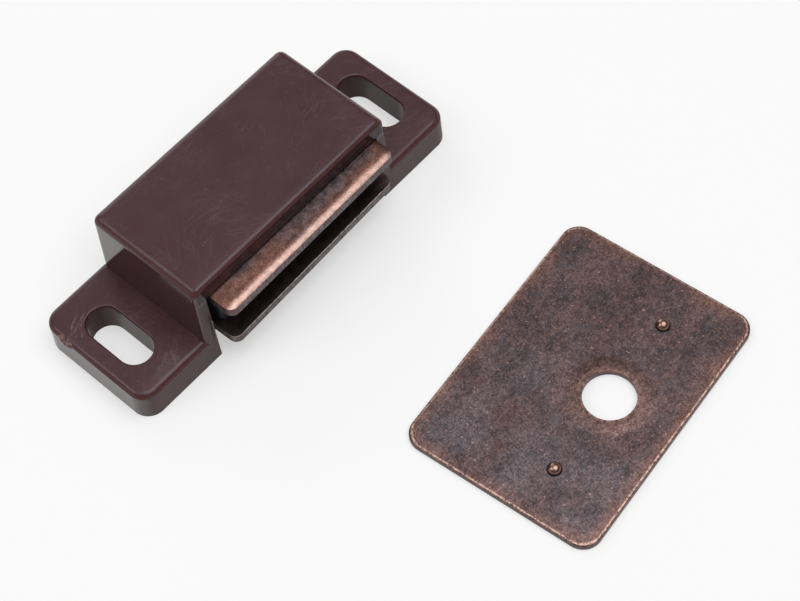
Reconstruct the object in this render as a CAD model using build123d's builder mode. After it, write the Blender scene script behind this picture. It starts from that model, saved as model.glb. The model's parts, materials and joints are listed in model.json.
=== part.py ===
from build123d import *
import os

os.makedirs("parts", exist_ok=True)

# A surface-mounted magnetic catch for a cabinet door, with its loose strike plate.
#
# Millimetres, +Z up. The origin lies on the mounting base (z = 0), midway between the two
# screw slots. The catch is 58 mm long in X, and its two pole plates look out towards -Y.
# The magnet pack (two steel plates with a magnet between them) floats in a pocket that is
# open at the front and underneath, and turns a little about a half-round rib behind it,
# so that both plates can lie flat against the strike plate of the door.

# ---- Driving dimensions -------------------------------------------------------------

# Magnet pack: two equal pole plates with the magnet between them
plate_length = 30.7
plate_depth = 19.1
plate_thickness = 1.7
plate_corner_radius = 1.2
die_roll_depth = 0.25           # edge drawn down on the side where the punch entered
die_roll_width = 0.8
die_roll_radius = 3.0           # where the drawn edge runs into the flat of the plate
magnet_depth = 15.1
magnet_thickness = 5.4
magnet_rear_inset = 1.0
magnet_edge = 0.8               # upright edges

# How the pack lies in its pocket
pack_skew = 1.2                 # degrees, left end turned out of the pocket
plate_twist = 0.45              # degrees, each plate turned against the magnet
upper_plate_slip = 0.55         # upper plate slid forward on the magnet
lower_plate_shift = 0.2         # lower plate slid to the left on the magnet

# Pocket
side_clearance = 0.4            # plate end to side wall
fulcrum_clearance = 0.1         # lower plate to the rib that it turns on
pack_play = 0.2                 # pack to the ledges below it and the ribs above it
lip_clearance = 0.25            # upper plate to the front lip
pocket_corner_radius = 1.0
pole_reach = 2.5                # lower plate, out past the front of the housing

# Housing walls
side_wall = 2.05
back_wall = 1.8
top_wall = 1.7
lip_wall = 1.8
draft_angle = 1.5
ear_edge_radius = 0.85          # upper edges of the screw ears
rear_corner_radius = 1.0        # upright edges of the block at its back
crown_radius = 1.2              # upper edges of the block at its back and ends
face_radius = 0.7               # edges round the front face of the block

# Ribs, guides and snap ledges inside the pocket
fulcrum_radius = 0.7
ceiling_rib_height = 0.85
ceiling_rib_width = 1.2
ceiling_rib_spacing = 9.0
ceiling_rib_count = 3
guide_width = 1.6
guide_reach = 0.85
guide_inset = 4.8               # middle of the guide, in front of the pocket's back wall
guide_clearance = 0.45          # guide to the floor of the notch in the plate
notch_play = 0.95               # guide to the sides of the notch
ledge_height = 4.15
ledge_reach = 1.05
ledge_length = 4.0
ledge_inset = 4.6               # front end of the ledge, behind the front of the housing
ledge_land = 0.6                # upright face at the tip of the ledge
ledge_rise = 2.6                # height of the snap slope below that face

# Screw ears
ear_thickness = 4.9
ear_corner_radius = 2.5
ear_margin = 2.8                # slot to the end of the ear
slot_spacing = 47.6
slot_width = 4.8
slot_length = 10.5
slot_rim_radius = 0.3

# Strike plate
strike_length = 38.9
strike_width = 28.15
strike_thickness = 0.9
strike_corner_radius = 2.6
strike_edge_radius = 0.3
strike_hole_diameter = 7.0
strike_hole_offset = 4.3        # towards one long edge
seat_diameter = 11.4            # raised seat round the hole
seat_crown_diameter = 8.6
seat_height = 0.12
pip_spacing = 24.7
pip_diameter = 2.0
pip_height = 0.95
pip_dent_diameter = 1.8
pip_dent_depth = 0.75
strike_x = 10.62                # where the loose plate lies beside the catch
strike_y = -47.61
strike_turn = 5.7               # degrees

# ---- Derived sizes ------------------------------------------------------------------

pack_height = 2 * plate_thickness + magnet_thickness
pack_bottom = ledge_height + pack_play
magnet_bottom = pack_bottom + plate_thickness
magnet_top = magnet_bottom + magnet_thickness
pack_top = pack_bottom + pack_height

pocket_width = plate_length + 2 * side_clearance
lip_bottom = pack_top + lip_clearance
ceiling = pack_top + pack_play + ceiling_rib_height

block_length = pocket_width + 2 * side_wall
body_height = ceiling + top_wall
body_depth = plate_depth - pole_reach + fulcrum_clearance + fulcrum_radius + back_wall
ear_length = slot_spacing + slot_width + 2 * ear_margin

front = -body_depth / 2
pocket_back = body_depth / 2 - back_wall
pocket_side = pocket_width / 2
lip_back = front + lip_wall
fulcrum = pocket_back - fulcrum_radius
guide_middle = pocket_back - guide_inset
guide_tip = pocket_side - guide_reach

# The pack stands on its own origin, the line on the rib that it turns about, and the
# plates and the magnet are each placed by their middle. The lower plate is turned over.
plate_middle = -fulcrum_clearance - plate_depth / 2
magnet_middle = -fulcrum_clearance - magnet_rear_inset - magnet_depth / 2
notch_middle = guide_middle - fulcrum - plate_middle + upper_plate_slip / 2
notch_width = guide_width + 2 * notch_play
notch_floor = guide_tip - guide_clearance
magnet_length = 2 * notch_floor     # it ends flush with the floors of the notches
pack_place = Location((0, fulcrum, 0), (0, 0, pack_skew))
lower_place = Location((-lower_plate_shift, plate_middle, magnet_bottom), (0, 180, -plate_twist))
magnet_place = Location((0, magnet_middle, magnet_bottom))
upper_place = Location((0, plate_middle - upper_plate_slip, magnet_top), (0, 0, -plate_twist))

# The hole of the strike plate and its two pips lie on one line.
hole_place = (0, -strike_hole_offset)
pip_places = [(-pip_spacing / 2, -strike_hole_offset), (pip_spacing / 2, -strike_hole_offset)]
on_base = (Align.CENTER, Align.CENTER, Align.MIN)


# ---- Housing ------------------------------------------------------------------------

# The screw ears are the two ends of one drafted plate that runs under the block.
with BuildPart() as ears:
    with BuildSketch():
        RectangleRounded(ear_length, body_depth, ear_corner_radius)
    extrude(amount=ear_thickness, taper=draft_angle)
    fillet(ears.faces().sort_by(Axis.Z)[-1].edges(), radius=ear_edge_radius)

# One moulding: the block, its ears, the pocket and what guides the magnet pack in it.
with BuildPart() as housing:
    with BuildSketch():
        Rectangle(block_length, body_depth)
    extrude(amount=body_height, taper=draft_angle)
    uprights = housing.edges().filter_by(Axis.Z, tolerance=2 * draft_angle)
    fillet(uprights.group_by(Axis.Y)[-1], radius=rear_corner_radius)
    crown = housing.faces().sort_by(Axis.Z)[-1].edges().sort_by(Axis.Y)
    fillet(crown[1:], radius=crown_radius)
    face_outline = housing.faces().sort_by(Axis.Y)[0].edges().sort_by(Axis.Z)
    fillet(face_outline[1:], radius=face_radius)
    add(ears.part)

    # Pocket: open underneath and, below the lip, at the front
    with BuildSketch() as mouth:
        with Locations((0, pocket_back)):
            Rectangle(pocket_width, body_depth, align=(Align.CENTER, Align.MAX))
        fillet(mouth.vertices().group_by(Axis.Y)[-1], radius=pocket_corner_radius)
    extrude(amount=lip_bottom, mode=Mode.SUBTRACT)
    with BuildSketch() as chamber:
        with Locations((0, pocket_back)):
            Rectangle(pocket_width, pocket_back - lip_back, align=(Align.CENTER, Align.MAX))
        fillet(chamber.vertices().group_by(Axis.Y)[-1], radius=pocket_corner_radius)
    extrude(amount=ceiling, mode=Mode.SUBTRACT)

    # Ribs under the ceiling, from the lip to the back wall
    with BuildSketch(Plane.XY.offset(ceiling)):
        with Locations((0, (lip_back + pocket_back) / 2)):
            with GridLocations(ceiling_rib_spacing, 1, ceiling_rib_count, 1):
                Rectangle(ceiling_rib_width, pocket_back - lip_back)
    extrude(amount=-ceiling_rib_height)

    # Half-round rib down the back wall, which the pack turns about
    with BuildSketch():
        with Locations((0, pocket_back)):
            Circle(fulcrum_radius)
    extrude(amount=ceiling)

    # Guides that stand in the notches of the plates and keep the pack from sliding out
    with BuildSketch():
        with Locations((-pocket_side, guide_middle), (pocket_side, guide_middle)):
            Rectangle(2 * guide_reach, guide_width)
    extrude(amount=ceiling)

    # Snap ledges that the pack is pushed past from below, and then rests on
    with BuildSketch(Plane.XZ.offset(-(front + ledge_inset))):
        with BuildLine():
            Polyline(
                (pocket_side, ledge_height),
                (pocket_side - ledge_reach, ledge_height),
                (pocket_side - ledge_reach, ledge_height - ledge_land),
                (pocket_side, ledge_height - ledge_land - ledge_rise),
                close=True,
            )
        make_face()
        mirror(about=Plane.YZ)
    extrude(amount=-ledge_length)

    # Screw slots, in which the catch is set nearer to the door or further back
    with BuildSketch():
        with GridLocations(slot_spacing, 1, 2, 1):
            SlotOverall(slot_length, slot_width, rotation=90)
    extrude(amount=ear_thickness, mode=Mode.SUBTRACT)
    ear_tops = [face for face in housing.faces().filter_by(Axis.Z) if len(face.inner_wires()) == 1]
    slot_rims = [edge for face in ear_tops for edge in face.inner_wires()[0].edges()]
    fillet(slot_rims, radius=slot_rim_radius)

housing.part.label = "housing"
export_step(housing.part, "parts/housing.step")


# ---- Magnet pack --------------------------------------------------------------------

# Both plates are the same blanking. Its drawn edge lies outward on each: up on the upper
# plate and down on the lower one.
with BuildPart() as pole_plate:
    with BuildSketch():
        RectangleRounded(plate_length, plate_depth, plate_corner_radius)
    extrude(amount=plate_thickness)
    flat = pole_plate.faces().sort_by(Axis.Z)[-1]
    chamfer(flat.edges(), length=die_roll_width, length2=die_roll_depth, reference=flat)
    fillet(pole_plate.faces().sort_by(Axis.Z)[-1].edges(), radius=die_roll_radius)
    # Notches in both ends, for the guides
    with BuildSketch():
        with Locations((-plate_length / 2, notch_middle), (plate_length / 2, notch_middle)):
            Rectangle(plate_length - 2 * notch_floor, notch_width)
    extrude(amount=plate_thickness, mode=Mode.SUBTRACT)

with BuildPart() as lower_pole_plate:
    with Locations(pack_place * lower_place):
        add(pole_plate.part)
lower_pole_plate.part.label = "lower_pole_plate"
export_step(lower_pole_plate.part, "parts/lower_pole_plate.step")

with BuildPart() as magnet:
    with BuildSketch(Plane(pack_place * magnet_place)):
        RectangleRounded(magnet_length, magnet_depth, magnet_edge)
    extrude(amount=magnet_thickness)
magnet.part.label = "magnet"
export_step(magnet.part, "parts/magnet.step")

with BuildPart() as upper_pole_plate:
    with Locations(pack_place * upper_place):
        add(pole_plate.part)
upper_pole_plate.part.label = "upper_pole_plate"
export_step(upper_pole_plate.part, "parts/upper_pole_plate.step")


# ---- Strike plate -------------------------------------------------------------------


def dome(diameter, height):
    """A round cap that stands on z = 0, with its crown at the given height."""
    with BuildPart() as cap:
        with BuildSketch(Plane.XZ):
            with BuildLine():
                TangentArc((0, height), (diameter / 2, 0), tangent=(1, 0))
                Polyline((diameter / 2, 0), (0, 0), (0, height))
            make_face()
        revolve(axis=Axis.Z)
    return cap.part


pip = dome(pip_diameter, pip_height)
pip_dent = dome(pip_dent_diameter, pip_dent_depth)

# It lies beside the catch with its back up: the pips that bite into the door point up,
# and so does the seat that is pressed in for the head of its screw.
strike_under = Plane(Location((strike_x, strike_y, 0), (0, 0, strike_turn)))
strike_top = strike_under.offset(strike_thickness)

with BuildPart() as strike_plate:
    with BuildSketch(strike_under):
        RectangleRounded(strike_length, strike_width, strike_corner_radius)
    extrude(amount=strike_thickness)
    fillet(strike_plate.faces().sort_by(Axis.Z)[-1].edges(), radius=strike_edge_radius)

    # Screw seat: a low cone pressed up round the hole
    with Locations(strike_top):
        with Locations(hole_place):
            Cone(seat_diameter / 2, seat_crown_diameter / 2, seat_height, align=on_base)
    with Locations(strike_under):
        with Locations(hole_place):
            Cone(seat_diameter / 2, seat_crown_diameter / 2, seat_height, align=on_base, mode=Mode.SUBTRACT)
    with Locations(strike_top):
        with Locations(hole_place):
            Hole(strike_hole_diameter / 2)

    # Pips: domes pressed up from dents in the face below
    with Locations(strike_top):
        with Locations(*pip_places):
            add(pip)
    with Locations(strike_under):
        with Locations(*pip_places):
            add(pip_dent, mode=Mode.SUBTRACT)
strike_plate.part.label = "strike_plate"
export_step(strike_plate.part, "parts/strike_plate.step")
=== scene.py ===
import json
import math
import random
from types import SimpleNamespace

import bpy
from mathutils import Matrix, Vector


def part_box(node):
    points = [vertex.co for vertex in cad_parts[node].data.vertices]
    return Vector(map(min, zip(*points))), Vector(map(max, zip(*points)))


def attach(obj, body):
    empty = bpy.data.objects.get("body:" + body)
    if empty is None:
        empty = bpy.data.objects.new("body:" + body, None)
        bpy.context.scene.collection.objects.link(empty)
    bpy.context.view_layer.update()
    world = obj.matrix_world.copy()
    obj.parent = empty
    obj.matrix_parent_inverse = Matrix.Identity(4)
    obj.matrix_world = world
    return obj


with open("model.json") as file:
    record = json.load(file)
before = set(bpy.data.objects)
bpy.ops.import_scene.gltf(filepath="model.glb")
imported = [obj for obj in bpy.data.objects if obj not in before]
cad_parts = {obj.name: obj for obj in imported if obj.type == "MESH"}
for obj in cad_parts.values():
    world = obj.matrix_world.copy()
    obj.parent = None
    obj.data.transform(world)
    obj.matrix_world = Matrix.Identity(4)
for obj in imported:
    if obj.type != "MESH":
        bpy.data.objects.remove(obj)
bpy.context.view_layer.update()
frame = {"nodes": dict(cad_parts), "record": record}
nodes = frame["nodes"]
mounts = {mount["name"]: mount for mount in frame["record"]["mounts"]}
MM = 0.001


def rgb(red, green, blue):
    """A linear colour, with its alpha."""
    return (red, green, blue, 1)


def grey(level):
    return rgb(level, level, level)


# ---- Camera ---------------------------------------------------------------------------

CAMERA_TARGET = Vector((4.909, -21.96, 0.0)) * MM
CAMERA_DISTANCE = 270.3 * MM
CAMERA_AZIMUTH = math.radians(-42.48)
CAMERA_ELEVATION = math.radians(59.18)
CAMERA_ROLL = math.radians(-6.63)
CAMERA_LENS = 93.4              # mm, for the sensor below
CAMERA_SENSOR = 36.0            # mm wide
CAMERA_CLIP = 10 * MM           # nothing nearer than this is drawn


def add_camera():
    """The camera looks down on both pieces from the front left."""
    back = Vector((
        math.sin(CAMERA_AZIMUTH) * math.cos(CAMERA_ELEVATION),
        -math.cos(CAMERA_AZIMUTH) * math.cos(CAMERA_ELEVATION),
        math.sin(CAMERA_ELEVATION),
    ))
    level = Vector((0, 0, 1)).cross(back).normalized()
    upright = back.cross(level)
    right = level * math.cos(CAMERA_ROLL) + upright * math.sin(CAMERA_ROLL)
    up = back.cross(right)
    turn = Matrix((right, up, back)).transposed().to_4x4()
    camera = bpy.data.objects.new("camera", bpy.data.cameras.new("camera"))
    bpy.context.scene.collection.objects.link(camera)
    camera.matrix_world = Matrix.Translation(CAMERA_TARGET + back * CAMERA_DISTANCE) @ turn
    camera.data.lens = CAMERA_LENS
    camera.data.sensor_width = CAMERA_SENSOR
    camera.data.clip_start = CAMERA_CLIP
    bpy.context.scene.camera = camera


# ---- Studio ---------------------------------------------------------------------------

STUDIO_CENTRE = Vector((0, -0.02, 0))
FLOOR_SIZE = 3.0                # metres
FLOOR_DROP = 0.05 * MM          # the floor lies this far under the base
FLOOR_GREY = 0.55
FLOOR_GLOW = 0.47

# Light from the room by the height of its direction (the sine of its elevation):
# a pale sweep at the horizon, a dim room above it, and a bright ceiling.
ROOM_LIGHT = ((0.0, 0.9), (0.08, 0.9), (0.18, 0.1), (0.5, 0.12), (0.78, 0.36), (1.0, 0.4))

# Softboxes: the direction from the object, distance, side of the square and radiance
SOFTBOXES = {
    "overhead": ((0.10, -0.22, 0.97), 0.6, 0.54, 2.35),
    "left_box": ((-0.62, 0.38, 0.68), 0.6, 0.3, 2.0),
    "back_box": ((0.3, 0.85, 0.42), 0.6, 0.35, 1.3),
}


def add_softbox(name, direction, distance, side, radiance):
    lamp = bpy.data.lights.new(name, "AREA")
    lamp.shape = "SQUARE"
    lamp.size = side
    lamp.energy = radiance * math.pi * side ** 2
    box = bpy.data.objects.new(name, lamp)
    bpy.context.scene.collection.objects.link(box)
    aim = Vector(direction).normalized()
    box.location = STUDIO_CENTRE + aim * distance
    box.rotation_euler = aim.to_track_quat("Z", "Y").to_euler()


def add_room():
    """The light of the room as a world that only depends on the height of the direction."""
    world = bpy.data.worlds.new("room")
    bpy.context.scene.world = world
    world.use_nodes = True
    tree = world.node_tree
    split = tree.nodes.new("ShaderNodeSeparateXYZ")
    direction = tree.nodes.new("ShaderNodeTexCoord").outputs["Generated"]
    tree.links.new(direction, split.inputs[0])
    ramp = tree.nodes.new("ShaderNodeValToRGB")
    stops = ramp.color_ramp.elements
    stops.remove(stops[1])
    (first_height, first_radiance), *others = ROOM_LIGHT
    stops[0].position = first_height
    stops[0].color = grey(first_radiance)
    for height, radiance in others:
        stops.new(height).color = grey(radiance)
    tree.links.new(split.outputs["Z"], ramp.inputs["Fac"])
    tree.links.new(ramp.outputs["Color"], tree.nodes["Background"].inputs["Color"])


def add_floor():
    """White paper that glows a little for the camera and in reflections, and keeps shadows."""
    bpy.ops.mesh.primitive_plane_add(size=FLOOR_SIZE, location=(0, 0, -FLOOR_DROP))
    floor = bpy.context.object
    floor.name = "floor"
    paper = bpy.data.materials.new("paper")
    paper.use_nodes = True
    tree = paper.node_tree
    shader = tree.nodes["Principled BSDF"]
    shader.inputs["Base Color"].default_value = grey(FLOOR_GREY)
    shader.inputs["Roughness"].default_value = 1.0
    shader.inputs["Specular IOR Level"].default_value = 0.0
    path = tree.nodes.new("ShaderNodeLightPath").outputs
    seen = path["Is Camera Ray"]
    for ray in ("Is Glossy Ray", "Is Transmission Ray"):
        either = tree.nodes.new("ShaderNodeMath")
        either.operation = "MAXIMUM"
        tree.links.new(seen, either.inputs[0])
        tree.links.new(path[ray], either.inputs[1])
        seen = either.outputs[0]
    glow = tree.nodes.new("ShaderNodeMath")
    glow.operation = "MULTIPLY"
    glow.inputs[1].default_value = FLOOR_GLOW
    tree.links.new(seen, glow.inputs[0])
    shader.inputs["Emission Color"].default_value = grey(1)
    tree.links.new(glow.outputs[0], shader.inputs["Emission Strength"])
    floor.data.materials.append(paper)


# ---- Node trees -----------------------------------------------------------------------

# The colour sockets of a Mix node, which share their names with those of its other types
MIX_A, MIX_B, MIX_RESULT = 6, 7, 2
SINGLE_RESULTS = ("DOT_PRODUCT", "LENGTH")      # vector operations that give a number
FAR = 1000.0                    # mm, past any height of the object


class Surface:
    """A material's node tree, with a short method for each kind of node that it uses."""

    def __init__(self, name):
        self.material = bpy.data.materials.new(name)
        self.material.use_nodes = True
        self.tree = self.material.node_tree
        self.shader = self.tree.nodes["Principled BSDF"]
        self.where = self.tree.nodes.new("ShaderNodeTexCoord").outputs
        self.place = self.where["Object"]

    def join(self, value, socket):
        """Links a node's output to a socket, or sets the socket to a plain value."""
        if isinstance(value, bpy.types.NodeSocket):
            self.tree.links.new(value, socket)
        else:
            socket.default_value = value

    def set(self, name, value):
        """Links or sets one of the shader's own sockets."""
        self.join(value, self.shader.inputs[name])

    def math(self, operation, a, b=0.0, clamp=False):
        node = self.tree.nodes.new("ShaderNodeMath")
        node.operation = operation
        node.use_clamp = clamp
        self.join(a, node.inputs[0])
        self.join(b, node.inputs[1])
        return node.outputs[0]

    def vector(self, operation, a, b=(0, 0, 0)):
        node = self.tree.nodes.new("ShaderNodeVectorMath")
        node.operation = operation
        self.join(a, node.inputs[0])
        self.join(b, node.inputs[1])
        return node.outputs["Value" if operation in SINGLE_RESULTS else "Vector"]

    def split(self, vector):
        node = self.tree.nodes.new("ShaderNodeSeparateXYZ")
        self.join(vector, node.inputs[0])
        return node.outputs

    def scale(self, value, factor):
        """A value times a factor."""
        return self.math("MULTIPLY", value, factor)

    def all(self, *factors):
        """The product of several factors."""
        product = factors[0]
        for factor in factors[1:]:
            product = self.math("MULTIPLY", product, factor)
        return product

    def any(self, *factors):
        """The largest of several factors."""
        largest = factors[0]
        for factor in factors[1:]:
            largest = self.math("MAXIMUM", largest, factor)
        return largest

    def apart(self, value, middle=0.0):
        """How far value is from the middle."""
        return self.math("ABSOLUTE", self.math("SUBTRACT", value, middle))

    def ramp(self, value, low, high, out_low=0.0, out_high=1.0):
        """Maps low..high smoothly to out_low..out_high."""
        node = self.tree.nodes.new("ShaderNodeMapRange")
        node.interpolation_type = "SMOOTHSTEP"
        self.join(value, node.inputs["Value"])
        if low > high:
            low, high, out_low, out_high = high, low, out_high, out_low
        node.inputs["From Min"].default_value = low
        node.inputs["From Max"].default_value = high
        node.inputs["To Min"].default_value = out_low
        node.inputs["To Max"].default_value = out_high
        return node.outputs["Result"]

    def near(self, value, middle, width):
        """1 where value is at the middle, falling smoothly to 0 at width away from it."""
        return self.ramp(self.apart(value, middle), width, 0.0)

    def mix(self, factor, a, b):
        """Blends two colours."""
        node = self.tree.nodes.new("ShaderNodeMix")
        node.data_type = "RGBA"
        self.join(factor, node.inputs["Factor"])
        self.join(a, node.inputs[MIX_A])
        self.join(b, node.inputs[MIX_B])
        return node.outputs[MIX_RESULT]

    def tint(self, colour, mask, share, other):
        """A colour blended into another over a mask, by no more than a share."""
        return self.mix(self.scale(mask, share), colour, other)

    def shade(self, colour, factor):
        """A colour made lighter or darker by a factor."""
        return self.vector("MULTIPLY", colour, factor)

    def local(self, origin=(0, 0, 0), turn=0.0):
        """Coordinates in millimetres from a point of the row frame, with X turned to that angle."""
        node = self.tree.nodes.new("ShaderNodeMapping")
        node.vector_type = "TEXTURE"
        self.join(self.place, node.inputs["Vector"])
        node.inputs["Location"].default_value = origin
        node.inputs["Rotation"].default_value = (0, 0, turn)
        node.inputs["Scale"].default_value = (MM, MM, MM)
        return node.outputs["Vector"]

    def position(self):
        """x, y and z in the row frame, in millimetres."""
        return self.split(self.local())

    def facing(self):
        """x, y and z of the direction that the surface faces at rest."""
        return self.split(self.where["Normal"])

    def noise(self, size, detail=3.0, roughness=0.5, stretch=(1, 1, 1), turn=0.0):
        """Noise from 0 to 1 whose largest features are about size millimetres across.
        They are longer by the three factors of stretch along axes turned in the plane."""
        place = self.tree.nodes.new("ShaderNodeMapping")
        place.vector_type = "TEXTURE"
        self.join(self.place, place.inputs["Vector"])
        place.inputs["Rotation"].default_value = (0, 0, turn)
        place.inputs["Scale"].default_value = [MM * size * s for s in stretch]
        node = self.tree.nodes.new("ShaderNodeTexNoise")
        self.join(place.outputs["Vector"], node.inputs["Vector"])
        node.inputs["Scale"].default_value = 1.0
        node.inputs["Detail"].default_value = detail
        node.inputs["Roughness"].default_value = roughness
        return node.outputs["Fac"]

    def bump(self, height, depth, normal=None):
        """Bump from a height field of 0 to 1, depth millimetres deep."""
        node = self.tree.nodes.new("ShaderNodeBump")
        node.inputs["Strength"].default_value = 1.0
        node.inputs["Distance"].default_value = depth * MM
        self.join(height, node.inputs["Height"])
        if normal is not None:
            self.join(normal, node.inputs["Normal"])
        return node.outputs["Normal"]

    def scratches(self, length, width, turns, least):
        """Hairlines in several directions: noise drawn out along each, where it is over least."""
        lines = []
        for index, turn in enumerate(turns):
            stretch = (length * (1 + 0.3 * (index % 3)), width, length)
            line = self.noise(1.0, 1, 0.5, stretch, math.radians(turn))
            patch = self.noise(length * 1.6 + index, 2)
            lines.append(self.all(self.ramp(line, least, least + 0.05), self.ramp(patch, 0.5, 0.62)))
        return self.any(*lines)

    def outside(self, place, half_x, half_y, corner):
        """How far a place is from an upright block that is smaller all round by its corners' radius,
        in millimetres: at the block's own outline it is that radius."""
        inner = Vector((half_x - corner, half_y - corner, FAR))
        out = self.vector("SUBTRACT", self.vector("ABSOLUTE", place), inner)
        return self.vector("LENGTH", self.vector("MAXIMUM", out, (0, 0, 0)))


# ---- Plastic --------------------------------------------------------------------------

# The moulding, in millimetres
housing_low, housing_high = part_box("housing")
BASE_LENGTH = (housing_high.x - housing_low.x) / MM
BASE_LEFT = housing_low.x / MM
BLOCK_DEPTH = (housing_high.y - housing_low.y) / MM
BLOCK_FRONT = housing_low.y / MM
BLOCK_LENGTH = 35.6
BLOCK_CORNER = 2.0              # radius at which the soft fall of the top goes round its corners
BASE_CORNER = 3.0               # and the same for the ears
LIP_HEIGHT = 13.4               # lower edge of the lip over the pocket's mouth
LIP_BLEND = 0.3                 # its face, darkened with painted shade and dulled, begins over this height
LIP_GLOSS = 1.0                 # the front grows glossier over this height below it
EAR_THICKNESS = 4.9
EAR_EDGE_RADIUS = 0.85
DRAFT_ANGLE = math.radians(1.5)
SLOT_MIDDLE = mounts["right_screw_slot"]["pos_m"][0] / MM
SLOT_SIDE = (3.0, 2.8)          # the walls' rougher, duller finish and painted shade end over this far beside the slot's middle
SLOT_END = (5.9, 5.6)           # and over this far before and behind it
BROWNER_BELOW = (13.0, 7.0)     # z over which the plastic turns browner
BROWNER_LEFT = (-6.0, -20.0)    # and x over which it does

# Where the tops fall away softly before their rounded edges, in millimetres
EASE_REACH = 2.2
EAR_EASE_REACH = 1.5 * EASE_REACH
EASE_DEPTH = 0.18
BLOCK_TOP = (12.0, 14.0)        # heights over which the block's top begins
EAR_TOP = (5.5, 5.0)            # heights over which the ears' tops end
EASE_FRONT = (3.0, -5.0)        # y over which the front begins, where they fall away most

# Marks on the left ear's top: their places in metres, and their reaches in millimetres
SCUFF_PLACE = (-0.0205, -0.0075, 0.0049)
SCUFF_SHAPE = (0.55, 1, 1)      # it is longer along X
SCUFF_REACH = (4.2, 0.8)
NICK_PLACE = (-0.0261, 0.0049, 0.0049)
NICK_REACH = (2.8, 1.0)

# Hairlines on the tops: length and width in millimetres, directions in degrees, and the
# level of the noise over which they show
LONG_SCRATCHES = (3.4, 0.085, (8, 52, 97, 141, 170), 0.655)
SHORT_SCRATCHES = (1.2, 0.08, (30, 75, 115, 160), 0.675)

# Depths of the moulding's bump, in millimetres
WAVE_DEPTH = 0.012
PEEL_DEPTH = 0.003
SCRATCH_DEPTH = 0.004

PLASTIC = (rgb(0.059, 0.0210, 0.0275), rgb(0.071, 0.0260, 0.0335))
BROWNER_PLASTIC = rgb(0.066, 0.0225, 0.0255)
# painted sheen: the rounded edges are lighter and redder than the flats
FILLET_SHEEN_PLASTIC = rgb(0.088, 0.029, 0.028)
SLOT_SHADE_PLASTIC = rgb(0.062, 0.018, 0.020)
TORN_PLASTIC = (rgb(0.055, 0.022, 0.022), rgb(0.24, 0.105, 0.075))
SCRATCH = rgb(0.15, 0.10, 0.11)
SCUFF = rgb(0.155, 0.105, 0.115)
SPECK = rgb(0.2, 0.13, 0.13)
NICK = rgb(0.21, 0.155, 0.16)


def eased_edges(s):
    """The tops of the block and the ears fall away softly before their rounded edges."""
    _, y, z = s.position()
    upward = s.facing()[2]
    falls = []
    for length, corner, reach, heights in (
        (BLOCK_LENGTH, BLOCK_CORNER, EASE_REACH, BLOCK_TOP),
        (BASE_LENGTH, BASE_CORNER, EAR_EASE_REACH, EAR_TOP),
    ):
        out = s.outside(s.local(), length / 2, BLOCK_DEPTH / 2, corner)
        rise = s.math("DIVIDE", s.math("SUBTRACT", out, corner - reach), reach, clamp=True)
        falls.append(s.all(s.math("POWER", rise, 2.0), s.ramp(z, *heights)))
    fall = s.all(s.any(*falls), s.ramp(upward, 0.2, 0.6), s.ramp(y, *EASE_FRONT, 0.2, 1.0))
    return s.bump(fall, -EASE_DEPTH)


def plastic_places(s):
    """Masks of the places where the moulding looks different."""
    x, y, z = s.position()
    _, backward, upward = s.facing()
    slots = s.all(
        s.ramp(s.apart(s.apart(x), SLOT_MIDDLE), *SLOT_SIDE),
        s.ramp(s.apart(y), *SLOT_END),
        s.ramp(upward, 0.95, 0.6),
    )
    fillet = s.all(s.near(upward, 0.55, 0.42), s.math("SUBTRACT", 1.0, slots))
    return SimpleNamespace(
        z=z,
        backward=backward,
        upward=upward,
        top=s.ramp(upward, 0.7, 0.97),
        slots=slots,
        fillet=fillet,
        back_fillet=s.all(fillet, s.ramp(backward, 0.0, 0.3)),
        # the lip's face: painted shade there, and a lower specular level
        lip=s.all(s.ramp(backward, -0.9, -0.98), s.ramp(z, LIP_HEIGHT - LIP_BLEND, LIP_HEIGHT)),
        browner=s.any(s.ramp(z, *BROWNER_BELOW), s.ramp(x, *BROWNER_LEFT)),
    )


def plastic_marks(s, top):
    """Masks of the marks that wear and dust have left: specks all over, and the rest on the tops."""
    lines = s.any(s.scratches(*LONG_SCRATCHES), s.scratches(*SHORT_SCRATCHES))
    from_scuff = s.vector("LENGTH", s.vector("MULTIPLY", s.local(SCUFF_PLACE), SCUFF_SHAPE))
    smear = s.ramp(s.noise(1.1, 5, 0.75, (1.6, 0.9, 1), math.radians(35)), 0.47, 0.66)
    by_slot = s.ramp(s.vector("LENGTH", s.local(NICK_PLACE)), *NICK_REACH)
    here_and_there = s.ramp(s.noise(7, 2), 0.48, 0.56)
    pits = s.noise(0.8, 3, 0.7, (2.0, 0.5, 1), math.radians(20))
    pits = s.ramp(s.math("ADD", pits, s.scale(by_slot, 0.13)), 0.67, 0.72)
    return SimpleNamespace(
        scratches=s.all(lines, top),
        scuff=s.all(s.ramp(from_scuff, *SCUFF_REACH), smear, top),
        specks=s.ramp(s.noise(0.3, 1), 0.74, 0.8),
        nicks=s.all(pits, s.any(by_slot, here_and_there), top),
    )


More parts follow.
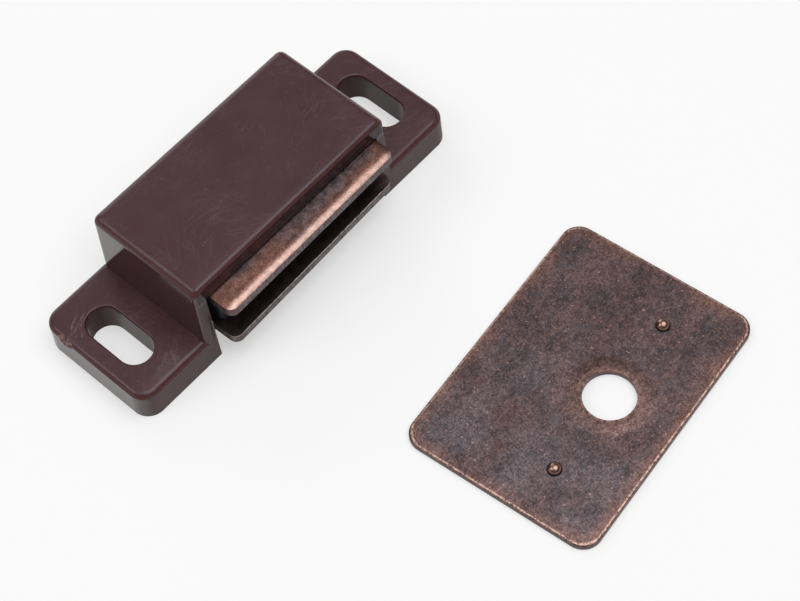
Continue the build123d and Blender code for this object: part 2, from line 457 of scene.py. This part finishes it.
def brown_plastic():
    """Dark red-brown moulding: polished, faintly wavy, with hairline scratches and scuffs."""
    s = Surface("brown_plastic")
    at = plastic_places(s)
    marks = plastic_marks(s, at.top)

    colour = s.mix(s.ramp(s.noise(9, 4), 0.3, 0.7), *PLASTIC)
    colour = s.tint(colour, at.browner, 0.7, BROWNER_PLASTIC)
    # painted sheen on the rounded edges
    colour = s.mix(at.fillet, colour, FILLET_SHEEN_PLASTIC)
    colour = s.tint(colour, marks.scratches, 0.3, SCRATCH)
    colour = s.tint(colour, marks.scuff, 0.55, SCUFF)
    colour = s.tint(colour, marks.specks, 0.3, SPECK)
    colour = s.tint(colour, marks.nicks, 0.5, NICK)
    # painted shade: faces turned sideways or down are darkened, to 0.84
    colour = s.shade(colour, s.ramp(at.upward, 0.3, 0.0, 1.0, 0.84))
    # painted shade: the lip's face is darkened by half
    colour = s.shade(colour, s.ramp(at.lip, 0.0, 1.0, 1.0, 0.5))
    # painted shade: the slots' walls are darker and redder
    s.set("Base Color", s.tint(colour, at.slots, 0.8, SLOT_SHADE_PLASTIC))

    rub = s.all(s.ramp(s.noise(3, 5, 0.6), 0.35, 0.75, 0.0, 0.08), at.top)
    under_lip = s.ramp(at.z, LIP_HEIGHT - LIP_GLOSS, LIP_HEIGHT, 0.5, 0.15)
    front = s.all(s.ramp(at.backward, -0.6, -0.9), under_lip)
    polish = s.any(s.ramp(at.upward, 0.05, 0.4, 0.10, 0.28), front, s.scale(at.slots, 0.32))
    worn = s.scale(s.any(marks.scratches, marks.scuff), 0.45)
    s.set("Roughness", s.any(s.math("ADD", rub, polish), worn))
    dull = s.any(s.scale(at.fillet, 0.6), at.slots, at.back_fillet, at.lip)
    s.set("Specular IOR Level", s.ramp(dull, 0.0, 1.0, 0.5, 0.18))

    flow = s.all(s.noise(6, 1), s.ramp(at.upward, 0.0, 0.5, 0.35, 1.0))
    wave = s.bump(flow, WAVE_DEPTH, eased_edges(s))
    peel = s.bump(s.noise(0.9, 2), PEEL_DEPTH, wave)
    s.set("Normal", s.bump(marks.scratches, SCRATCH_DEPTH, peel))
    return s.material


def torn_plastic():
    """The moulding where it was torn: lighter, dull and speckled."""
    s = Surface("torn_plastic")
    s.set("Base Color", s.mix(s.ramp(s.noise(0.5, 3, 0.7), 0.44, 0.58), *TORN_PLASTIC))
    s.set("Roughness", 0.45)
    s.set("Normal", s.bump(s.noise(0.3, 3, 0.6), 0.04))
    return s.material


# ---- Metal and magnet -----------------------------------------------------------------

# The pole plates' finish: the film on each, the lower plate's darker as painted shade of the gap
# under the magnet, and the copper that it is rubbed through to
FILM = {
    "upper_plate_copper": (rgb(0.14, 0.115, 0.125), rgb(0.20, 0.14, 0.14)),
    "lower_plate_copper": (rgb(0.10, 0.075, 0.073), rgb(0.15, 0.10, 0.095)),
}
COPPER = rgb(0.31, 0.155, 0.12)
RUBBED_COPPER_AND_HIGHLIGHT = rgb(0.48, 0.33, 0.29)
CUT_STEEL = (rgb(0.075, 0.055, 0.058), rgb(0.20, 0.165, 0.17))
BURR = rgb(0.50, 0.43, 0.42)
SHADE_UNDER_BURR = rgb(0.05, 0.035, 0.037)
TARNISH = rgb(0.13, 0.07, 0.058)

# Where that finish changes, in millimetres. A band is given by its middle and half its width.
FILM_EDGE = (8.8, 6.8)          # behind the front face: film gives way to copper, with noise added
RUBBED_HIGHLIGHT_BAND = (0.68, 0.6)       # behind the front face: rubbed copper with a painted highlight along the rolled edge
SHADE_BAND = (1.25, 0.7)         # behind the front face: painted shade that darkens the colour
PLATE_ENDS = (12.6, 15.0)       # either way from the plate's middle: its ends begin
RUBBED_LEFT = (-2, -9)          # x: the upper plate is rubbed further back
BURR_DEPTH = (0.28, 0.12)       # below the lower plate's top: its burr begins
SHADE_UNDER_BURR_BAND = (0.45, 0.16)      # below the lower plate's top: a line of painted shade under the burr

# The strike plate, in millimetres and degrees
STRIKE_LENGTH = 38.9
STRIKE_WIDTH = 28.15
STRIKE_CORNER = 3.0
STRIKE_TURN = 5.7
PRESSED_HEIGHT = (0.6, 0.7)     # heights over which the plate's upper face begins
PIP_HEIGHT = (1.15, 1.3)        # and over which its pips do
EDGE_REACH = (-2.8, 0.2)        # from the outline, over which the edge is rubbed to copper
RIM_BAND = (-0.22, 0.24)        # middle and half of the width of the painted highlight along its rim
SEAT_REACH = (6.4, 4.4)         # from the hole's middle, over which its seat begins
COLLAR_REACH = (3.85, 3.6)      # and over which the hole's own rim does
BLOOM_AND_SHEEN_LEFT = (3.0, -13.0)       # along the plate, over which its grey bloom and painted sheen grow

STRIKE = (rgb(0.112, 0.086, 0.092), rgb(0.155, 0.102, 0.100))
STRIKE_BLOOM_AND_SHEEN = rgb(0.140, 0.122, 0.138)
STRIKE_EDGE = rgb(0.25, 0.128, 0.098)
STRIKE_SEAT = rgb(0.23, 0.128, 0.104)
STRIKE_SPECK = rgb(0.60, 0.34, 0.26)
STRIKE_RIM_HIGHLIGHT = rgb(0.80, 0.54, 0.45)
STRIKE_COLLAR = rgb(0.38, 0.23, 0.18)
STRIKE_WALL = rgb(0.085, 0.058, 0.056)
STRIKE_PIP = rgb(0.36, 0.22, 0.17)

FERRITE = (rgb(0.010, 0.009, 0.010), rgb(0.022, 0.022, 0.026))
FERRITE_END_SHEEN = rgb(0.055, 0.058, 0.070)
MAGNET_LEFT = (-11.5, -14.5)    # x over which the painted sheen at its left end begins, in millimetres


def plate_top(s, film, behind, ends, patch, dust, upper):
    """Colour of a pole plate's flat: a dark film, on the upper plate rubbed through to copper and
    given a painted highlight near the front edge, and on both plates a band of painted shade behind
    that edge.
    """
    grain = s.noise(0.42, 3, 0.7)
    colour = s.mix(s.ramp(patch, 0.4, 0.6), *film)
    if upper:
        broad = s.noise(6.0, 3, 0.5, (1.3, 0.6, 1))
        wander = s.math("ADD", s.scale(broad, 6.0), s.scale(patch, 3.0))
        more_rubbed = s.any(s.scale(ends, 2.2), s.ramp(s.position()[0], *RUBBED_LEFT, 0.0, 1.6))
        wander = s.math("SUBTRACT", wander, more_rubbed)
        edge = s.math("ADD", behind, s.math("ADD", s.scale(grain, 3.5), wander))
        colour = s.mix(s.ramp(edge, *FILM_EDGE), colour, COPPER)
    # painted shade: a darker band behind the front edge
    colour = s.shade(colour, s.ramp(s.near(behind, *SHADE_BAND), 0.0, 1.0, 1.0, 0.8))
    # the band along the rolled front edge: rubbed copper and a painted highlight
    bright = s.near(s.math("ADD", behind, s.scale(grain, 0.5)), *RUBBED_HIGHLIGHT_BAND)
    if upper:
        colour = s.mix(bright, colour, RUBBED_COPPER_AND_HIGHLIGHT)
    contrast = 0.24 if upper else 0.08
    fine = colour
    for speckle in (dust, patch):
        fine = s.shade(fine, s.ramp(speckle, 0.40, 0.60, 1 - contrast, 1 + contrast))
    return s.tint(fine, bright, 0.6, colour)


def plate_cut(s, ends, patch, streak, upper):
    """Colour of a pole plate's cut edge: streaked steel, with a burr on top of the lower plate's and
    a line of painted shade under it.
    """
    blotch = s.noise(0.8, 3, 0.6)
    tone = s.ramp(s.math("ADD", s.scale(streak, 0.6), s.scale(blotch, 0.4)), 0.4, 0.6)
    colour = s.mix(tone, *CUT_STEEL)
    if not upper:
        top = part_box("lower_pole_plate")[1].z / MM
        below = s.math("SUBTRACT", top, s.position()[2])
        burr = s.all(s.ramp(below, *BURR_DEPTH), s.ramp(s.noise(0.5, 3), 0.38, 0.5))
        colour = s.mix(burr, colour, BURR)
        # painted shade: a dark line under the burr
        colour = s.tint(colour, s.near(below, *SHADE_UNDER_BURR_BAND), 0.6, SHADE_UNDER_BURR)
    return s.tint(colour, s.all(ends, s.ramp(patch, 0.40, 0.56)), 0.75, TARNISH)


def plate_metal(name, face, upper):
    """Antique copper plate: dark film on the flat, bare at the cut edges."""
    s = Surface(name)
    out = Vector(face["axis"])
    from_face = s.vector("SUBTRACT", s.place, face["pos_m"])
    behind = s.scale(s.vector("DOT_PRODUCT", from_face, -out), 1 / MM)
    along = s.apart(s.split(s.local(face["pos_m"], math.atan2(out.x, -out.y)))[0])
    ends = s.ramp(along, *PLATE_ENDS)
    patch = s.noise(1.1, 5, 0.65)
    dust = s.noise(0.28, 2, 0.8)
    streak = s.noise(0.22, 3, 0.6, (1, 1, 5))
    flat = s.ramp(s.facing()[2], 0.35, 0.75)
    top = plate_top(s, FILM[name], behind, ends, patch, dust, upper)
    cut = plate_cut(s, ends, patch, streak, upper)
    s.set("Base Color", s.mix(flat, cut, top))
    s.set("Metallic", 1.0)
    s.set("Roughness", s.ramp(flat, 0.0, 1.0, 0.5, 0.38))
    s.set("Normal", s.bump(dust, 0.01, s.bump(streak, 0.03)))
    return s.material


def strike_metal():
    """Antique copper, darkened in clouds, paler towards one end with grey bloom and painted sheen,
    with rubbed edges, a painted highlight along the rim, bright specks and a coppery hole.
    """
    s = Surface("strike_copper")
    lowest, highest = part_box("strike_plate")
    spot = s.local((lowest + highest) / 2, math.radians(STRIKE_TURN))
    from_hole = s.vector("MULTIPLY", s.local(mounts["strike_screw_hole"]["pos_m"]), (1, 1, 0))
    from_hole = s.vector("LENGTH", from_hole)
    out = s.outside(spot, STRIKE_LENGTH / 2, STRIKE_WIDTH / 2, STRIKE_CORNER)
    edge = s.math("SUBTRACT", out, STRIKE_CORNER)
    height = s.position()[2]
    pips = s.ramp(height, *PIP_HEIGHT)
    dust = s.noise(0.3, 2, 0.8)
    grain = s.noise(0.6, 4, 0.75)
    patch = s.noise(2.2, 5, 0.7, (1.6, 1, 1))
    cloud = s.noise(6.0, 5, 0.65, (1.5, 1, 1))
    broad = s.noise(13.0, 2, 0.5)

    colour = s.mix(s.ramp(patch, 0.42, 0.58), *STRIKE)
    slant = s.scale(s.math("SUBTRACT", broad, 0.5), 30.0)
    far_left = s.ramp(s.math("ADD", s.split(spot)[0], slant), *BLOOM_AND_SHEEN_LEFT)
    # grey bloom with painted sheen: paler towards the left end
    colour = s.tint(colour, s.all(far_left, s.ramp(cloud, 0.38, 0.55)), 0.6, STRIKE_BLOOM_AND_SHEEN)
    ragged_edge = s.math("ADD", edge, s.scale(s.math("SUBTRACT", cloud, 0.5), 5.0))
    colour = s.tint(colour, s.ramp(ragged_edge, *EDGE_REACH), 0.55, STRIKE_EDGE)
    colour = s.tint(colour, s.ramp(from_hole, *SEAT_REACH), 0.5, STRIKE_SEAT)
    colour = s.shade(colour, s.ramp(dust, 0.40, 0.60, 0.83, 1.15))
    colour = s.shade(colour, s.ramp(grain, 0.38, 0.62, 0.70, 1.22))
    colour = s.shade(colour, s.ramp(cloud, 0.35, 0.65, 0.84, 1.09))
    colour = s.tint(colour, s.ramp(s.noise(0.40, 2, 0.7), 0.655, 0.71), 0.7, STRIKE_SPECK)
    worn = s.ramp(s.noise(0.35, 3, 0.7), 0.40, 0.56)
    # painted highlight: a broken bright line along the plate's rim
    rim = s.all(s.near(edge, *RIM_BAND), s.ramp(height, *PRESSED_HEIGHT), worn)
    colour = s.tint(colour, rim, 0.8, STRIKE_RIM_HIGHLIGHT)
    collar = s.all(s.ramp(from_hole, *COLLAR_REACH), s.ramp(grain, 0.42, 0.58))
    colour = s.tint(colour, collar, 0.6, STRIKE_COLLAR)
    colour = s.tint(colour, s.ramp(s.facing()[2], 0.55, 0.2), 0.8, STRIKE_WALL)
    s.set("Base Color", s.mix(pips, colour, STRIKE_PIP))

    s.set("Metallic", 1.0)
    s.set("Roughness", s.ramp(pips, 0.0, 1.0, 0.42, 0.25))
    s.set("Normal", s.bump(grain, 0.015, s.bump(patch, 0.03)))
    return s.material


def ferrite():
    """Dull charcoal, with a painted pale blue sheen at its left end."""
    s = Surface("ferrite")
    colour = s.mix(s.ramp(s.noise(1.5, 5, 0.6), 0.4, 0.65), *FERRITE)
    left_end = s.ramp(s.position()[0], *MAGNET_LEFT)
    # painted sheen: paler and bluer at the left end
    s.set("Base Color", s.tint(colour, left_end, 0.7, FERRITE_END_SHEEN))
    s.set("Roughness", 0.55)
    s.set("Normal", s.bump(s.noise(0.2, 3, 0.6), 0.01))
    return s.material


def dress(node, material):
    """Gives a CAD node its material."""
    slots = nodes[node].data.materials
    slots.clear()
    slots.append(material)


# ---- Flash, gate scar and burr --------------------------------------------------------

# The gate scar on the left ear's end: its middle, then each ring's reach from it and its
# height over the surface, from the torn rim to the middle of the crater, in millimetres
SCAR_Y = 4.95
SCAR_RISE = 4.3                 # measured up the end and over its rounded edge
SCAR_RINGS = ((1.55, -0.05), (1.25, 0.05), (0.95, 0.15), (0.6, 0.04), (0.0, 0.02))
SCAR_SPOKES = 28
SCAR_LENGTH = 0.9               # the share of the reach that it has along the ear's end
SCAR_HEIGHT = 0.62              # and the share that it has up it
ROUND_RINGS = (3, 4)
ROUGH_RINGS = (1, 2)            # rings whose height is uneven
REACH_SPREAD = 0.12             # shares by which the reach and the height vary
HEIGHT_SPREAD = 0.5
SCAR_SEED = 5

# Ragged ridges: x and z of a flash's ends, how far its feet are behind the block's front,
# half of its foot, the way its crest points, and the limits of its height, in millimetres
FLASH = {
    "wall_flash": dict(
        ends=((-16.0, 9.2), (-16.0, 3.8)), inset=0.0, foot=(0.1, 0, 0), crest=(0.3, -1, 0),
        points=40, heights=(0.05, 0.3),
    ),
    "lip_flash": dict(
        ends=((9.0, LIP_HEIGHT + 0.1), (14.6, LIP_HEIGHT + 0.1)), inset=0.05, foot=(0, 0, 0.1),
        crest=(0, -1, 0.3), points=30, heights=(0.03, 0.14),
    ),
}
BURR_HALF_LENGTH = 13.9
BURR_SETBACK = 0.06             # of its middle behind the plate's front face
BURR_FOOT = 0.07                # half of its foot
BURR_LEAN = 0.5                 # outward, for each unit up
BURR_POINTS = 220
BURR_HEIGHTS = (0.0, 0.09)
RIDGE_SEED = 11
RIDGE_STEP = 0.55               # share of the way to the next height that a ridge goes at a point
RIDGE_FADE = 3                  # points over which it fades at each end


def make_piece(name, verts, faces, material, body):
    """A new piece from points in millimetres, which rides on a body."""
    mesh = bpy.data.meshes.new(name)
    mesh.from_pydata([v * MM for v in verts], [], faces)
    mesh.materials.append(material)
    piece = bpy.data.objects.new(name, mesh)
    bpy.context.scene.collection.objects.link(piece)
    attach(piece, body)


def on_ear_end(rise, lift):
    """x and z at a distance up the left ear's end and over its rounded edge, lifted off it."""
    bend = EAR_THICKNESS - EAR_EDGE_RADIUS
    angle = min(max(rise - bend, 0.0) / EAR_EDGE_RADIUS, math.pi / 2)
    foot = BASE_LEFT + min(rise, bend) * math.tan(DRAFT_ANGLE)
    x = foot + EAR_EDGE_RADIUS * (1 - math.cos(angle)) - lift * math.cos(angle)
    z = min(rise, bend) + (EAR_EDGE_RADIUS + lift) * math.sin(angle)
    return x, z


def gate_scar():
    """Where the runner was cut off the left ear's end: a torn rim round a shallow crater."""
    rng = random.Random(SCAR_SEED)
    verts, faces = [], []
    for ring, (size, height) in enumerate(SCAR_RINGS):
        for spoke in range(SCAR_SPOKES):
            angle = 2 * math.pi * spoke / SCAR_SPOKES
            longer = rng.uniform(-REACH_SPREAD, REACH_SPREAD)
            reach = size if ring in ROUND_RINGS else size * (1 + longer)
            lift = height
            if ring in ROUGH_RINGS:
                lift *= 1 + rng.uniform(-HEIGHT_SPREAD, HEIGHT_SPREAD)
            x, z = on_ear_end(SCAR_RISE + SCAR_HEIGHT * reach * math.sin(angle), lift)
            verts.append(Vector((x, SCAR_Y + SCAR_LENGTH * reach * math.cos(angle), z)))
            if ring:
                here = ring * SCAR_SPOKES + spoke
                beside = ring * SCAR_SPOKES + (spoke + 1) % SCAR_SPOKES
                faces.append((here - SCAR_SPOKES, beside - SCAR_SPOKES, beside, here))
    make_piece("gate_scar", verts, faces, torn_plastic(), "base")


def ragged(rng, count, least, most):
    """A run of heights that wanders between two limits and fades to nothing at both ends."""
    heights, height = [], (least + most) / 2
    for index in range(count):
        height += (rng.uniform(least, most) - height) * RIDGE_STEP
        fade = min(1.0, index / RIDGE_FADE, (count - 1 - index) / RIDGE_FADE)
        heights.append(height * fade)
    return heights


def ribbon(start, end, foot, crest, heights):
    """A thin ragged ridge along an edge: two feet on the surface and a crest of varying height."""
    verts, faces = [], []
    for index, height in enumerate(heights):
        spot = start.lerp(end, index / (len(heights) - 1))
        verts += [spot - foot, spot + crest * height, spot + foot]
        if index:
            last = 3 * (index - 1)
            faces += [
                (last, last + 3, last + 4, last + 1),
                (last + 1, last + 4, last + 5, last + 2),
                (last + 2, last + 5, last + 3, last),
            ]
    return verts, faces


def add_flash(rng, plastic):
    """Ragged flash where the halves of the mould met, on the left wall's front and the lip."""
    for name, fin in FLASH.items():
        start, end = (Vector((x, BLOCK_FRONT + fin["inset"], z)) for x, z in fin["ends"])
        heights = ragged(rng, fin["points"], *fin["heights"])
        verts, faces = ribbon(start, end, Vector(fin["foot"]), Vector(fin["crest"]), heights)
        make_piece(name, verts, faces, plastic, "base")


def add_burr(rng, metal):
    """The burr that the blanking punch left along the lower plate's upper front edge."""
    face = mounts["lower_pole_face"]
    out = Vector(face["axis"])
    along = Vector((-out.y, out.x, 0))
    x, y, _ = face["pos_m"]
    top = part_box("lower_pole_plate")[1].z
    middle = Vector((x, y, top)) / MM - out * BURR_SETBACK
    reach = along * BURR_HALF_LENGTH
    crest = Vector((0, 0, 1)) + out * BURR_LEAN
    heights = ragged(rng, BURR_POINTS, *BURR_HEIGHTS)
    verts, faces = ribbon(middle - reach, middle + reach, out * BURR_FOOT, crest, heights)
    make_piece("plate_burr", verts, faces, metal, "magnet_pack")


# ---- The scene ------------------------------------------------------------------------

add_camera()
add_room()
add_floor()
for name, settings in SOFTBOXES.items():
    add_softbox(name, *settings)

plastic = brown_plastic()
dress("housing", plastic)
dress("upper_pole_plate", plate_metal("upper_plate_copper", mounts["upper_pole_face"], True))
lower_copper = plate_metal("lower_plate_copper", mounts["lower_pole_face"], False)
dress("lower_pole_plate", lower_copper)
dress("magnet", ferrite())
dress("strike_plate", strike_metal())

gate_scar()
rng = random.Random(RIDGE_SEED)
add_flash(rng, plastic)
add_burr(rng, lower_copper)

bpy.context.scene.view_settings.view_transform = "Standard"
